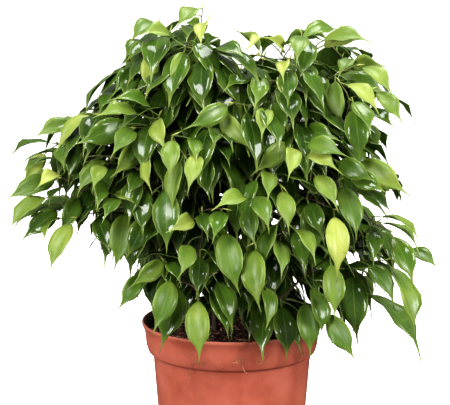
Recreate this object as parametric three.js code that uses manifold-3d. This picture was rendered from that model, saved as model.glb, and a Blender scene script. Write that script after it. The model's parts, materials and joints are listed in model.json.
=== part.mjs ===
// A weeping fig: five leafy stems, planted together in a terracotta-coloured plastic pot.
// Millimetres, +Z up, the origin at the centre of the pot's flat underside. -Y is the plant's front.
import * as THREE from "three";
import { mergeVertices } from "three/addons/utils/BufferGeometryUtils.js";
import Module from "manifold-3d";

const wasm = await Module();
wasm.setup();
const { Manifold } = wasm;

// The pot is a 17 cm nursery pot: a tapered wall under a wider collar, whose lip turns out.
const POT = {
  height: 150,
  rimRadius: 85,
  baseRadius: 65,
  wall: 1.8,
  floor: 3,
  throatRadius: 74.5,
  throatHeight: 119,
  shoulderRadius: 79,
  shoulderHeight: 122,
  collarFoot: 81,
  collarFootHeight: 128,
  collarHead: 82.3,
  collarHeadHeight: 142,
  lipWidth: 2.2,
  lipHeight: 2.5,
  sides: 36,
  drainHoles: 4,
  drainSides: 8,
  drainRadius: 5,
  drainCircle: 44,
};
const SOIL = { belowRim: 10, mound: 4, gap: 0.3, knee: 0.6 };

// A stem's foot is upright, and stands in a plain hole in the soil.
const STEM = {
  footRadius: 4,
  topRadius: 1.8,
  sides: 6,
  steps: 6,
  depth: 40,
  upright: 3,
  holeGap: 0.4,
  holeSides: 12,
};

// A twig is thicker the more leaves it carries, and a petiole reaches over to wood that is near it.
const TWIG = {
  sides: 3,
  thinnest: 1,
  thickening: 0.36,
  windingCost: 0.3,
  petioleReach: 17,
  pastRoot: 2,
  rootShare: 0.45,
  wedgeGap: 4,
  sharpestBend: 1.2,
};

// A leaf is an egg-shaped blade with a drip tip, folded along its rib, the more so the younger it is.
// Each ring of it is a share of the length from the base, and a share of the half width.
const LEAF = {
  length: 60,
  slenderness: 0.42,
  widest: 26,
  ribThickness: 1.1,
  petiole: 9,
  petioleRadius: 0.8,
  rootRadius: 0.4,
  arch: 0.12,
  openFoldDeg: 7,
  youngFoldDeg: 7,
  rings: [
    [0.27, 0.92],
    [0.62, 0.76],
  ],
};
const CLEARANCE = 0.5;
const SWINGS_DEG = [0, 16, -16, 32, -32, 50, -50];

// The crown is an egg, wider than it is deep. Its front is given as EYE sees it, against the plane y = 0.
const EYE = new THREE.Vector3(-6.5, -1671, 575);
const CROWN = { halfWidth: 215, halfDepth: 140, middle: 250, above: 205, below: 225, outermost: 0.98 };
const AGE = { youngest: 3, pitch: 11 };

// A leaf that points at the eye looks short, so its real length is its seen one with something added.
// Its face may turn a little sideways from the eye, and turns a little up.
const FORESHORTENED = { bow: 1.1, shortest: 46, added: 16 };
const FACE = { sideways: 0.3, upward: 0.1 };

// The five stems: where each stands in the soil, where its top ends, and where its wedge of the crown
// begins, counted from +X towards +Y. The wedges are alike.
const STEMS = [
  { name: "front_left", foot: [-16, -14], top: [-62, -42, 345], wedgeDeg: -162 },
  { name: "front_right", foot: [17, -15], top: [62, -44, 335], wedgeDeg: -90 },
  { name: "right", foot: [22, 10], top: [82, 22, 350], wedgeDeg: -18 },
  { name: "back", foot: [0, 24], top: [-8, 66, 355], wedgeDeg: 54 },
  { name: "left", foot: [-22, 10], top: [-74, 26, 365], wedgeDeg: 126 },
];
const WEDGE_DEG = 360 / STEMS.length;

// The leaves of the front: x and z where the blade starts, x and z of its tip,
// its youth from 0 (old, dark and deep in the crown) to 3 (pale), and how far its face turns to the eye.
const FRONT_LEAVES = [
  [-70, 430, -95, 411, 1.5, 0.5],
  [-57, 418, -85, 421, 2, 0.6],
  [-56, 420, -35, 404, 0.3, 0.8],
  [-76, 413, -102, 396, 0.6, 0.3],
  [-72, 408, -98, 394, 0.5, 0.3],
  [-31, 443, -51, 424, 1.6, 0.6],
  [-31, 427, -45, 431, 1.5, 0.7],
  [-25, 430, -28, 409, 3, 0.6],
  [-25, 413, -12, 417, 1, 0.7],
  [-72, 401, -80, 362, 2.6, 1],
  [-44, 403, -59, 366, 2, 1],
  [-89, 388, -110, 362, 0.5, 0.8],
  [-103, 385, -138, 343, 1, 0.1],
  [-100, 367, -127, 345, 0.3, 0.4],
  [-76, 353, -111, 361, 1.2, 0.5],
  [-88, 346, -128, 344, 1.8, 0.5],
  [-96, 336, -148, 317, 0.7, 0.8],
  [-128, 343, -165, 311, 2.5, 0.4],
  [-145, 337, -185, 323, 1.6, 0.7],
  [-169, 319, -210, 306, 0.7, 0.2],
  [-174, 308, -197, 277, 2.6, 0.8],
  [-152, 320, -157, 292, 1, 0.8],
  [-158, 303, -181, 286, 0.6, 0.3],
  [-165, 284, -212, 262, 1.4, 0.6],
  [-160, 288, -184, 276, 2.9, 0.3],
  [-174, 267, -211, 236, 2, 0.5],
  [-170, 260, -208, 236, 1.1, 0.3],
  [-163, 254, -199, 226, 0.4, 0.9],
  [-143, 267, -163, 232, 1.2, 0.8],
  [-161, 247, -177, 225, 1.4, 0.4],
  [-150, 242, -172, 195, 2, 0.9],
  [-158, 277, -171, 261, 0.1, 0.4],
  [-117, 302, -148, 270, 1.6, 0.6],
  [-120, 297, -132, 274, 1.9, 0.5],
  [-92, 317, -122, 287, 1.8, 1],
  [-92, 331, -113, 306, 1, 0.7],
  [-79, 329, -82, 293, 0.7, 0.9],
  [-73, 310, -75, 272, 2.3, 0.5],
  [-68, 341, -60, 309, 2.5, 1],
  [-56, 321, -57, 283, 1.9, 1],
  [-48, 301, -55, 254, 1.6, 0.6],
  [-37, 322, -34, 301, 1.3, 0.9],
  [-32, 307, -40, 271, 2.3, 0.8],
  [-21, 333, -28, 313, 1, 0.9],
  [-10, 322, -3, 297, 0.3, 0.9],
  [-20, 302, -23, 263, 0.6, 0.8],
  [-60, 275, -60, 213, 0.8, 1],
  [-75, 264, -69, 234, 0.6, 0.6],
  [-37, 246, -62, 234, 2.1, 0.6],
  [-30, 252, -34, 228, 0.7, 0.8],
  [-10, 254, -17, 225, 1, 1],
  [-7, 234, 5, 172, 1.2, 1],
  [11, 268, -17, 255, 2, 0.6],
  [-41, 222, -48, 189, 1.5, 1],
  [-65, 206, -97, 181, 1.4, 0.9],
  [-87, 193, -108, 158, 1, 0.8],
  [-58, 188, -73, 134, 1.3, 0.9],
  [-51, 182, -66, 118, 0.6, 0.8],
  [-32, 168, -29, 107, 1.9, 1],
  [-30, 211, -32, 170, 0.3, 0.9],
  [-14, 187, 0, 137, 0.7, 0.6],
  [-21, 176, -3, 131, 0.5, 0.4],
  [22, 217, 24, 157, 1.8, 1],
  [42, 226, 46, 190, 1.5, 0.8],
  [46, 242, 45, 193, 1.2, 0.9],
  [16, 259, 22, 218, 0.9, 1],
  [22, 268, 37, 235, 1.2, 0.9],
  [47, 273, 52, 232, 2, 1],
  [31, 292, 34, 264, 1.7, 1],
  [50, 319, 18, 290, 1.5, 1],
  [-9, 346, 18, 310, 1.8, 1],
  [-4, 353, -44, 332, 1.2, 0.9],
  [-6, 389, -54, 358, 1, 0.4],
  [-32, 405, -7, 388, 0.8, 0.6],
  [-16, 406, 14, 397, 0.6, 0.5],
  [33, 413, 13, 406, 2.8, 0.4],
  [46, 404, 30, 418, 2.8, 0.5],
  [26, 380, 21, 350, 1.3, 1],
  [18, 379, -9, 368, 0.7, 0.7],
  [50, 395, 46, 376, 3, 1],
  [44, 376, 50, 357, 3, 0.8],
  [62, 387, 66, 338, 1.5, 1],
  [41, 366, 35, 325, 1.3, 1],
  [30, 351, 27, 322, 2.1, 0.7],
  [57, 336, 55, 313, 1.8, 1],
  [56, 314, 50, 284, 2.4, 1],
  [74, 362, 82, 330, 0.5, 1],
  [97, 376, 110, 331, 1.5, 1],
  [106, 373, 138, 346, 2.7, 0.6],
  [95, 379, 141, 361, 1, 0.6],
  [112, 391, 143, 391, 2.1, 0.8],
  [120, 389, 150, 363, 1.9, 0.6],
  [134, 366, 159, 336, 1.5, 0.6],
  [93, 425, 60, 414, 1.4, 0.6],
  [84, 414, 129, 413, 1.8, 0.4],
  [82, 409, 116, 413, 2.4, 0.5],
  [61, 418, 45, 393, 1.2, 0.7],
  [112, 396, 97, 381, 1.2, 0.6],
  [112, 357, 130, 325, 1.2, 0.7],
  [122, 350, 150, 332, 0.3, 0.4],
  [104, 326, 138, 321, 0.8, 0.8],
  [68, 331, 101, 320, 1, 0.7],
  [71, 319, 107, 304, 1.2, 0.8],
  [71, 308, 100, 291, 2.5, 0.5],
  [99, 301, 135, 281, 0.7, 0.8],
  [120, 301, 167, 269, 1.9, 0.9],
  [78, 288, 100, 254, 1.9, 0.8],
  [102, 277, 120, 225, 1.1, 0.7],
  [108, 289, 135, 269, 0.9, 0.8],
  [116, 276, 151, 250, 0.3, 0.3],
  [96, 249, 98, 188, 3, 0.9],
  [93, 203, 98, 149, 1.8, 0.8],
  [59, 237, 78, 204, 1.7, 0.6],
  [60, 235, 69, 195, 0.4, 0.9],
  [72, 262, 86, 226, 0.3, 0.8],
  [131, 240, 133, 202, 0.8, 1],
  [139, 237, 153, 195, 0.5, 0.7],
  [140, 249, 179, 226, 1.8, 0.2],
  [142, 243, 178, 214, 1.9, 0.2],
  [151, 230, 172, 181, 1.3, 0.7],
  [162, 216, 197, 198, 1.3, 0.5],
  [128, 203, 156, 164, 1, 0.5],
  [149, 201, 173, 133, 1.6, 0.4],
  [130, 174, 184, 110, 1, 0.25],
  [113, 194, 118, 125, 0.5, 0.9],
  [92, 155, 118, 108, 1.3, 0.8],
  [75, 181, 86, 131, 1, 0.6],
  [69, 166, 74, 112, 1, 0.8],
  [47, 163, 54, 110, 0.1, 1],
  [31, 182, 34, 140, 1.4, 0.7],
  [71, 193, 90, 181, 0.1, 0.6],
  [-100, 252, -111, 195, 1.5, 1],
  [-126, 248, -113, 212, 0.2, 0.9],
  [-106, 266, -121, 245, 1, 0.8],
  [-78, 250, -100, 206, 0.2, 0.8],
  [-125, 285, -127, 255, 0.8, 0.8],
  [-112, 271, -95, 255, 2, 0.5],
  [-85, 291, -98, 268, 0.6, 0.7],
  [-66, 205, -70, 183, 0.5, 0.5],
];

// The back repeats the front, turned and drawn in a little, with every few leaves left out.
const BACK = { turnDeg: 14, reach: 0.92, above: 0.93, leftOut: 5 };

// Older leaves fill the inside and the sides of the crown, each where it's emptiest of a few places tried.
const INSIDE = {
  leaves: 54,
  tries: 80,
  lowest: 200,
  highest: 395,
  inner: 0.25,
  outer: 0.76,
  frontOuter: 0.55,
  tipEdge: 0.6,
  lowestTip: 150,
  leftRise: 0.4,
  spreadDeg: 40,
  droop: [0.45, 1.35],
  lengthShares: [0.8, 1.05],
  oldAge: 1.1,
};

// Random numbers between 0 and 1, the same each time: each seed is the last one times a factor.
const DRAW = { factor: 16807, modulus: 2147483647 };
let seed = 20;
const random = () => (seed = (seed * DRAW.factor) % DRAW.modulus) / DRAW.modulus;
const between = (low, high) => low + (high - low) * random();
const vec = (x, y, z) => new THREE.Vector3(x, y, z);
const rad = THREE.MathUtils.degToRad;
const UP = vec(0, 0, 1);
const ASKEW = vec(0.3, 0.2, 1);
const WELD = 1e-4;

// A closed geometry through rings of points, all of one count. A ring that repeats a point has fewer sides,
// and one point repeated all round is an apex. Each square between two rings is split from an even point
// to an odd one, so that a thin blade's two faces split alike.
function loft(rings) {
  const points = [...new Set(rings.flat())];
  const place = new Map(points.map((point, i) => [point, i]));
  const faces = [];
  for (let i = 0; i + 1 < rings.length; i++) {
    rings[i].forEach((a, k) => {
      const turn = (k + 1) % rings[i].length;
      const [b, c, d] = [rings[i][turn], rings[i + 1][k], rings[i + 1][turn]];
      if (k % 2 === 0) faces.push([a, b, d], [a, d, c]);
      else faces.push([a, b, c], [b, d, c]);
    });
  }
  const [first, last] = [rings[0], rings.at(-1)];
  for (let k = 1; k + 1 < first.length; k++) {
    faces.push([first[0], first[k + 1], first[k]], [last[0], last[k], last[k + 1]]);
  }
  const whole = faces.filter((face) => new Set(face).size === 3);
  const index = whole.flat().map((point) => place.get(point));
  return new THREE.BufferGeometry().setFromPoints(points).setIndex(index);
}

// A three.js geometry as a solid, and a solid as a three.js geometry.
function solidOf(geometry) {
  const bare = geometry.clone();
  bare.deleteAttribute("normal");
  bare.deleteAttribute("uv");
  const merged = mergeVertices(bare, WELD);
  const vertProperties = merged.attributes.position.array;
  const triVerts = new Uint32Array(merged.index.array);
  return new Manifold(new wasm.Mesh({ numProp: 3, vertProperties, triVerts }));
}
function geometryOf(solid) {
  const { vertProperties, triVerts } = solid.getMesh();
  const geometry = new THREE.BufferGeometry();
  geometry.setAttribute("position", new THREE.BufferAttribute(vertProperties, 3));
  geometry.setIndex(new THREE.BufferAttribute(triVerts, 1));
  geometry.computeVertexNormals();
  return geometry;
}

// The point at depth y on the line of sight through (x, z) of the plane y = 0.
function sighted(x, z, y) {
  return EYE.clone().lerp(vec(x, 0, z), (y - EYE.y) / -EYE.y);
}
// How near the edge of the crown's outline a place is, from 0 in its middle to almost 1.
function edgeOf(x, z) {
  const half = z > CROWN.middle ? CROWN.above : CROWN.below;
  return Math.min(CROWN.outermost, (x / CROWN.halfWidth) ** 2 + ((z - CROWN.middle) / half) ** 2);
}

// A leaf has a base, a tip, a way that its upper face looks and a youth. A front leaf is read from its row:
// the younger it is, the further out it stands, and near the crown's edge it may be at any depth.
function frontLeaf([x, z, tipX, tipZ, youth, broad]) {
  const edge = edgeOf(x, z);
  const bulge = CROWN.halfDepth * Math.sqrt(1 - edge);
  const y = (AGE.youngest - youth) * AGE.pitch - bulge * (1 - edge * random());
  const base = sighted(x, z, y);
  const seen = sighted(tipX, tipZ, y).distanceTo(base);
  const { bow, shortest, added } = FORESHORTENED;
  const length = Math.max(seen * bow, Math.min(shortest, seen + added));
  const tip = sighted(tipX, tipZ, y - Math.sqrt(length ** 2 - seen ** 2));
  const along = tip.clone().sub(base).normalize();
  const upright = vec(-along.z, 0, along.x).multiplyScalar(along.x < 0 ? -1 : 1);
  const toEye = vec(between(-FACE.sideways, FACE.sideways), -broad, FACE.upward * broad);
  return { base, tip, youth, face: upright.multiplyScalar(1 - broad).add(toEye) };
}
function backLeaf({ base, tip, face, youth }) {
  const behind = (v) => v.clone().multiply(vec(1, -1, 1)).applyAxisAngle(UP, rad(BACK.turnDeg));
  const drawnIn = behind(base).multiply(vec(BACK.reach, BACK.reach, 1));
  const above = Math.max(0, drawnIn.z - CROWN.middle);
  drawnIn.z -= above * (1 - BACK.above);
  const tipBehind = behind(tip.clone().sub(base)).add(drawnIn);
  return { base: drawnIn, tip: tipBehind, face: behind(face), youth };
}
function innerLeaf() {
  const { lowest, highest, inner, spreadDeg } = INSIDE;
  const height = between(lowest, highest);
  const out = vec(1, 0, 0).applyAxisAngle(UP, rad(between(0, 360)));
  const outer = out.y < -Math.SQRT1_2 ? INSIDE.frontOuter : INSIDE.outer;
  const width = Math.sqrt(1 - edgeOf(0, height)) * between(inner, outer);
  const base = vec(out.x * CROWN.halfWidth * width, out.y * CROWN.halfDepth * width, height);
  const heading = out.applyAxisAngle(UP, rad(between(-spreadDeg, spreadDeg)));
  const along = vec(heading.x, heading.y, -between(...INSIDE.droop)).normalize();
  const tip = base.clone().addScaledVector(along, LEAF.length * between(...INSIDE.lengthShares));
  return { base, tip, face: vec(heading.x, heading.y, 1), youth: between(0, INSIDE.oldAge) };
}

const front = FRONT_LEAVES.map(frontLeaf);
const back = front.filter((leaf, i) => i % BACK.leftOut).map(backLeaf);
const leaves = [...front, ...back];
for (let i = 0; i < INSIDE.leaves; i++) {
  const middleOf = ({ base, tip }) => base.clone().lerp(tip, 0.5);
  const room = (leaf) => Math.min(...leaves.map((other) => middleOf(other).distanceTo(middleOf(leaf))));
  const tried = Array.from({ length: INSIDE.tries }, innerLeaf).filter(
    ({ tip }) => edgeOf(tip.x, tip.z) < INSIDE.tipEdge && tip.z + tip.x * INSIDE.leftRise > INSIDE.lowestTip,
  );
  leaves.push(tried.reduce((best, leaf) => (room(leaf) > room(best) ? leaf : best)));
}

// The leaf turned about the upright through its root, with its own axes.
function posed({ base, tip, face, root }, swingDeg = 0) {
  const swing = (v) => v.clone().applyAxisAngle(UP, rad(swingDeg));
  const along = swing(tip.clone().sub(base)).normalize();
  const normal = swing(face);
  normal.addScaledVector(along, -normal.dot(along)).normalize();
  const side = normal.clone().cross(along);
  return { along, normal, side, length: base.distanceTo(tip), base: swing(base.clone().sub(root)).add(root) };
}

// The blade's rings go from its left edge round under the rib to its right edge, and back over the rib.
function bladeRings(youth, { along, normal, side, length, base }) {
  const half = Math.min(length * LEAF.slenderness, LEAF.widest) / 2;
  const fold = rad(LEAF.openFoldDeg + LEAF.youngFoldDeg * youth);
  const at = (share) => {
    const bow = LEAF.arch * 4 * share * (1 - share);
    return base.clone().addScaledVector(along, length * share).addScaledVector(normal, length * bow);
  };
  const rings = LEAF.rings.map(([share, spread]) => {
    const out = half * spread * Math.cos(fold);
    const up = half * spread * Math.sin(fold);
    const edge = (way) => at(share).addScaledVector(side, way * out).addScaledVector(normal, up);
    const rib = (way) => at(share).addScaledVector(normal, (way * LEAF.ribThickness) / 2);
    return [edge(-1), rib(-1), edge(1), rib(1)];
  });
  return [...rings, Array(4).fill(at(1))];
}

// The petiole is three-sided: a ring at its root, sunk in the wood, and a larger one at the blade's base.
function petioleRings(root, { base, side, normal }) {
  const ring = (at, size) => {
    const edge = (way) => at.clone().addScaledVector(side, way * size).addScaledVector(normal, size / 2);
    const left = edge(-1);
    return [left, at.clone().addScaledVector(normal, -size), edge(1), left];
  };
  return [ring(root, LEAF.rootRadius), ring(base, LEAF.petioleRadius)];
}

// A leaf's petiole leads back from its base to a root. The leaf belongs to the stem whose wedge the root
// is in, and the root is kept clear of the wedge's two faces.
for (const leaf of leaves) {
  const { along, normal } = posed({ ...leaf, root: leaf.base });
  const back = along.addScaledVector(normal, 4 * LEAF.arch).normalize();
  leaf.root = leaf.base.clone().addScaledVector(back, -LEAF.petiole);
  const angle = THREE.MathUtils.radToDeg(Math.atan2(leaf.root.y, leaf.root.x));
  const isPast = ({ wedgeDeg }) => THREE.MathUtils.euclideanModulo(angle - wedgeDeg, 360) < WEDGE_DEG;
  leaf.stem = STEMS.find(isPast);
  const from = rad(leaf.stem.wedgeDeg);
  const to = from + rad(WEDGE_DEG);
  for (const inward of [vec(-Math.sin(from), Math.cos(from), 0), vec(Math.sin(to), -Math.cos(to), 0)]) {
    leaf.root.addScaledVector(inward, Math.max(0, TWIG.wedgeGap - leaf.root.dot(inward)));
  }
}

// The soil's top is a low mound. A stem's trunk rises upright from it, and bends towards its top.
const soilTop = POT.height - SOIL.belowRim;
const soilHeight = (radius) => soilTop + SOIL.mound * (1 - (radius / POT.throatRadius) ** 2);
function trunkOf({ foot: [x, y], top }) {
  const ground = soilHeight(Math.hypot(x, y));
  const foot = vec(x, y, ground + STEM.upright);
  const middle = vec(x, y, (ground + top[2]) / 2);
  return new THREE.QuadraticBezierCurve3(foot, middle, vec(...top)).getPoints(STEM.steps);
}

// The wood of one stem: points that each have a parent, the trunk's first, and then a root for the leaves
// that no wood comes near. A point also has its way from the foot, and the number of leaves that it carries.
function growWood(stem) {
  const wood = [];
  const grow = (at, parent, carries) => {
    const way = wood.length ? wood[parent].way + at.distanceTo(wood[parent].at) : 0;
    wood.push({ at, parent, way, carries });
  };
  trunkOf(stem).forEach((at, i) => grow(at, i - 1, 0));
  const trunk = wood.slice(1);
  const fromTrunk = ({ root }) => Math.min(...trunk.map(({ at }) => at.distanceTo(root)));
  const own = leaves.filter((leaf) => leaf.stem === stem);
  for (const leaf of own.sort((a, b) => fromTrunk(a) - fromTrunk(b))) {
    const near = nearestOnWood(wood, leaf.root);
    const along = leaf.tip.clone().sub(leaf.base).normalize();
    const behind = leaf.base.clone().sub(near.at).dot(along);
    if (near.gap < TWIG.petioleReach && behind > LEAF.petiole / 2) {
      leaf.root = near.at;
      wood[near.point].carries += 1;
    } else {
      const cost = ({ at, way }) => at.distanceTo(leaf.root) + TWIG.windingCost * way;
      const parent = wood.slice(1).reduce((best, point) => (cost(point) < cost(best) ? point : best));
      grow(leaf.root, wood.indexOf(parent), 1);
    }
  }
  for (let i = wood.length - 1; i > 0; i--) wood[wood[i].parent].carries += wood[i].carries;
  return wood;
}
function nearestOnWood(wood, to) {
  let best = { gap: Infinity };
  for (let i = 2; i < wood.length; i++) {
    const line = new THREE.Line3(wood[wood[i].parent].at, wood[i].at);
    const at = line.closestPointToPoint(to, true, vec());
    const gap = at.distanceTo(to);
    if (gap < best.gap) best = { gap, at, point: i };
  }
  return best;
}

// Chains of wood from fork to tip. Each point passes its chain on to the child that carries most, unless
// that one bends back.
function chainsOf(wood) {
  const children = wood.map(() => []);
  for (let i = 1; i < wood.length; i++) children[wood[i].parent].push(i);
  const chains = [];
  const bendsBack = (chain, i) => {
    if (chain.length < 2) return false;
    const [before, from] = chain.slice(-2).map((k) => wood[k].at);
    return from.clone().sub(before).angleTo(wood[i].at.clone().sub(from)) > TWIG.sharpestBend;
  };
  const follow = (chain) => {
    for (;;) {
      const from = chain.at(-1);
      const next = children[from].sort((a, b) => wood[b].carries - wood[a].carries);
      const main = next.find((i) => i <= STEM.steps) ?? next.find((i) => !bendsBack(chain, i));
      for (const other of next) if (other !== main) follow([from, other]);
      if (main === undefined) break;
      chain.push(main);
    }
    chains.push(chain);
  };
  follow([0]);
  return chains;
}

// A tube through points, with a radius at each.
function tube(points, radii, sides) {
  const across = ASKEW.clone();
  const rings = points.map((point, i) => {
    const before = points[Math.max(0, i - 1)];
    const after = points[Math.min(points.length - 1, i + 1)];
    const along = after.clone().sub(before).normalize();
    across.addScaledVector(along, -across.dot(along)).normalize();
    return Array.from({ length: sides }, (_, k) => {
      const out = across.clone().applyAxisAngle(along, (k / sides) * 2 * Math.PI);
      return point.clone().addScaledVector(out, radii[i]);
    });
  });
  return loft(rings);
}

// A chain of wood as a solid. A twig starts thin, inside its parent, and ends a little past its last root.
// The trunk starts at the bottom of its hole.
function chainSolid(wood, chain) {
  const points = chain.map((i) => wood[i].at.clone());
  const [last, end] = points.slice(-2);
  end.addScaledVector(end.clone().sub(last).normalize(), TWIG.pastRoot);
  const twigRadius = ({ carries }) => TWIG.thinnest * Math.max(1, carries) ** TWIG.thickening;
  const isTrunk = chain[0] === 0;
  const thickest = isTrunk ? STEM.topRadius : twigRadius(wood[chain[1]]);
  const radii = chain.map((i) => {
    if (!isTrunk || i > STEM.steps) return Math.min(thickest, twigRadius(wood[i]));
    return THREE.MathUtils.lerp(STEM.footRadius, STEM.topRadius, i / STEM.steps);
  });
  if (isTrunk) {
    points.unshift(points[0].clone().setZ(soilTop - STEM.depth));
    radii.unshift(STEM.footRadius);
  } else {
    radii[0] *= TWIG.rootShare;
  }
  return solidOf(tube(points, radii, isTrunk ? STEM.sides : TWIG.sides));
}

// A solid with its box, so that most pairs need no closer test.
function boxed(solid, stem) {
  const { min, max } = solid.boundingBox();
  const box = new THREE.Box3(vec(...min), vec(...max)).expandByScalar(CLEARANCE / 2);
  return { solid, stem, box };
}
function tooClose(a, b) {
  return a.box.intersectsBox(b.box) && a.solid.minGap(b.solid, CLEARANCE) < CLEARANCE;
}

// A leaf that would touch what is already there swings clear of it, or is left out.
function addLeaf({ youth, root, stem, ...leaf }, pieces) {
  for (const swing of SWINGS_DEG) {
    const pose = posed({ ...leaf, root }, swing);
    const rings = bladeRings(youth, pose);
    const blade = boxed(solidOf(loft(rings)), stem);
    const whole = boxed(solidOf(loft([...petioleRings(root, pose), ...rings])), stem);
    if (pieces.some((other) => tooClose(other.stem === stem ? blade : whole, other))) continue;
    pieces.push(whole);
    return;
  }
}

// The leafy stems: all the wood first, and then the leaves, clear of the wood, the pot and the soil.
function leafyStems(around) {
  const pieces = around.map((solid) => boxed(solid, null));
  for (const stem of STEMS) {
    const wood = growWood(stem);
    for (const chain of chainsOf(wood)) pieces.push(boxed(chainSolid(wood, chain), stem));
  }
  for (const leaf of leaves) addLeaf(leaf, pieces);
  const solidsOf = (stem) => pieces.filter((piece) => piece.stem === stem).map(({ solid }) => solid);
  return STEMS.map((stem) => Manifold.union(solidsOf(stem)));
}

// A solid turned round the upright axis from its profile of [radius, height] points, and an upright rod.
function turned(profile) {
  const points = profile.map(([radius, height]) => new THREE.Vector2(radius, height));
  return solidOf(new THREE.LatheGeometry(points, POT.sides).rotateX(Math.PI / 2));
}
function uprightRod(radius, length, sides, x, y, bottom) {
  const rod = new THREE.CylinderGeometry(radius, radius, length, sides).rotateX(Math.PI / 2);
  return solidOf(rod.translate(x, y, bottom + length / 2));
}

// The pot: its profile runs up the outside from the foot to the lip, and down the inside to the floor.
function pot() {
  const { height, rimRadius, baseRadius, wall, floor, throatRadius, throatHeight } = POT;
  const shell = turned([
    [0, 0],
    [baseRadius, 0],
    [throatRadius, throatHeight],
    [POT.shoulderRadius, POT.shoulderHeight],
    [POT.collarFoot, POT.collarFootHeight],
    [POT.collarHead, POT.collarHeadHeight],
    [rimRadius, height - POT.lipHeight],
    [rimRadius, height],
    [rimRadius - POT.lipWidth, height],
    [POT.collarHead - wall, POT.collarHeadHeight + 1],
    [POT.collarFoot - wall, POT.collarFootHeight],
    [throatRadius - wall, throatHeight + 1],
    [baseRadius - wall, floor],
    [0, floor],
  ]);
  const holes = Array.from({ length: POT.drainHoles }, (_, i) => {
    const spot = vec(POT.drainCircle, 0, 0).applyAxisAngle(UP, ((i + 0.5) / POT.drainHoles) * 2 * Math.PI);
    return uprightRod(POT.drainRadius, floor * 3, POT.drainSides, spot.x, spot.y, -floor);
  });
  return shell.subtract(Manifold.union(holes));
}

// The soil fills the pot up to its collar, clear of the wall, and has a plain hole for each stem.
function soil() {
  const inner = (radius) => radius - POT.wall - SOIL.gap;
  const edge = inner(POT.collarFoot);
  const body = turned([
    [0, POT.floor + SOIL.gap],
    [inner(POT.baseRadius), POT.floor + SOIL.gap],
    [inner(POT.throatRadius), POT.throatHeight + 1],
    [edge, POT.collarFootHeight + SOIL.gap],
    [edge, soilTop],
    [edge * SOIL.knee, soilHeight(edge * SOIL.knee)],
    [0, soilHeight(0)],
  ]);
  const { footRadius, holeGap, holeSides, depth } = STEM;
  const bottom = soilTop - depth - SOIL.gap;
  const holes = STEMS.map(({ foot: [x, y] }) => {
    return uprightRod(footRadius + holeGap, depth * 2, holeSides, x, y, bottom);
  });
  return body.subtract(Manifold.union(holes));
}

const MATERIALS = {
  pot: new THREE.MeshStandardMaterial({ color: 0xc4614a, roughness: 0.55, metalness: 0 }),
  soil: new THREE.MeshStandardMaterial({ color: 0x2e1b14, roughness: 1, metalness: 0 }),
  leaf: new THREE.MeshStandardMaterial({ color: 0x4f8a2b, roughness: 0.35, metalness: 0 }),
};

const plant = new THREE.Group();
function addPiece(name, solid, material) {
  const mesh = new THREE.Mesh(geometryOf(solid), material);
  mesh.name = name;
  plant.add(mesh);
}
const potSolid = pot();
const soilSolid = soil();
addPiece("pot", potSolid, MATERIALS.pot);
addPiece("soil", soilSolid, MATERIALS.soil);
leafyStems([potSolid, soilSolid]).forEach((solid, i) => {
  addPiece(`leafy_stem_${STEMS[i].name}`, solid, MATERIALS.leaf);
});

export default plant;
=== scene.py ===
import json
import math
import random
from itertools import combinations

import bmesh
import bpy
from mathutils import Matrix, Vector, noise
from mathutils.bvhtree import BVHTree
from mathutils.geometry import intersect_point_line

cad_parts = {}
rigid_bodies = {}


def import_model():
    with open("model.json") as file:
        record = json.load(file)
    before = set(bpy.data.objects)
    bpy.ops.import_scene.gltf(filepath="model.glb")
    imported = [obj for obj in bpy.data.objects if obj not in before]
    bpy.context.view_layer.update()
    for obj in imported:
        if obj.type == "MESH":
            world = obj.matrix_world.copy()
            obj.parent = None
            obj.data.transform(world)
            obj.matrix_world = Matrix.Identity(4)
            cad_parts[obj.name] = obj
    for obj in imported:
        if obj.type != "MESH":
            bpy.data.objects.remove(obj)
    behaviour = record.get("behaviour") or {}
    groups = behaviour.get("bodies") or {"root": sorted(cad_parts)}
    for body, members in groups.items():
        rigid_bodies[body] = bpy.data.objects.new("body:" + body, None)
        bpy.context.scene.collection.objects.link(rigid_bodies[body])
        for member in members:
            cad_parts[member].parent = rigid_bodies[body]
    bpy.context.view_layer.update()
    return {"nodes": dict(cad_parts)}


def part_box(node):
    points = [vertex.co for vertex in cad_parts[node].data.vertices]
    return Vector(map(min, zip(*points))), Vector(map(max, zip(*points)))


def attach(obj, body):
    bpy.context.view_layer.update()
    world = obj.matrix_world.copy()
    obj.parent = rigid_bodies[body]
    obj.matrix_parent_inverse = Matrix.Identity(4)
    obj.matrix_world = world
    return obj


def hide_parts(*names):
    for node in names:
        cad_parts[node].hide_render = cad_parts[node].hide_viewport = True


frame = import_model()
random.seed(11)
noise.seed_set(11)  # the clock seeds noise_vector otherwise
print("frame loaded")

stemNames = sorted(name for name in frame["nodes"] if name.startswith("leafy_stem"))
up = Vector((0, 0, 1))
fullTurn = 2 * math.pi
weld = 1e-6  # points that are nearer than this are one

viewpoint = {
    "aim": Vector((-0.0065, 0, 0.2624)),
    "distance": 1.700,
    "pitch": math.radians(10.6),
    "lens": 145.6,
    "sensor": 36,
}
sight = Vector((0, -math.cos(viewpoint["pitch"]), math.sin(viewpoint["pitch"])))
eye = viewpoint["aim"] + sight * viewpoint["distance"]


# Small helpers for meshes and materials

def newObject(name, bm):
    mesh = bpy.data.meshes.new(name)
    bm.to_mesh(mesh)
    bm.free()
    made = bpy.data.objects.new(name, mesh)
    bpy.context.scene.collection.objects.link(made)
    return made


def finishedPiece(name, bm, materials, replaced):
    piece = newObject(name, bm)
    for material in materials:
        piece.data.materials.append(material)
    piece.data.polygons.foreach_set("use_smooth", [True] * len(piece.data.polygons))
    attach(piece, "root")
    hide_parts(replaced)
    return piece


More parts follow.
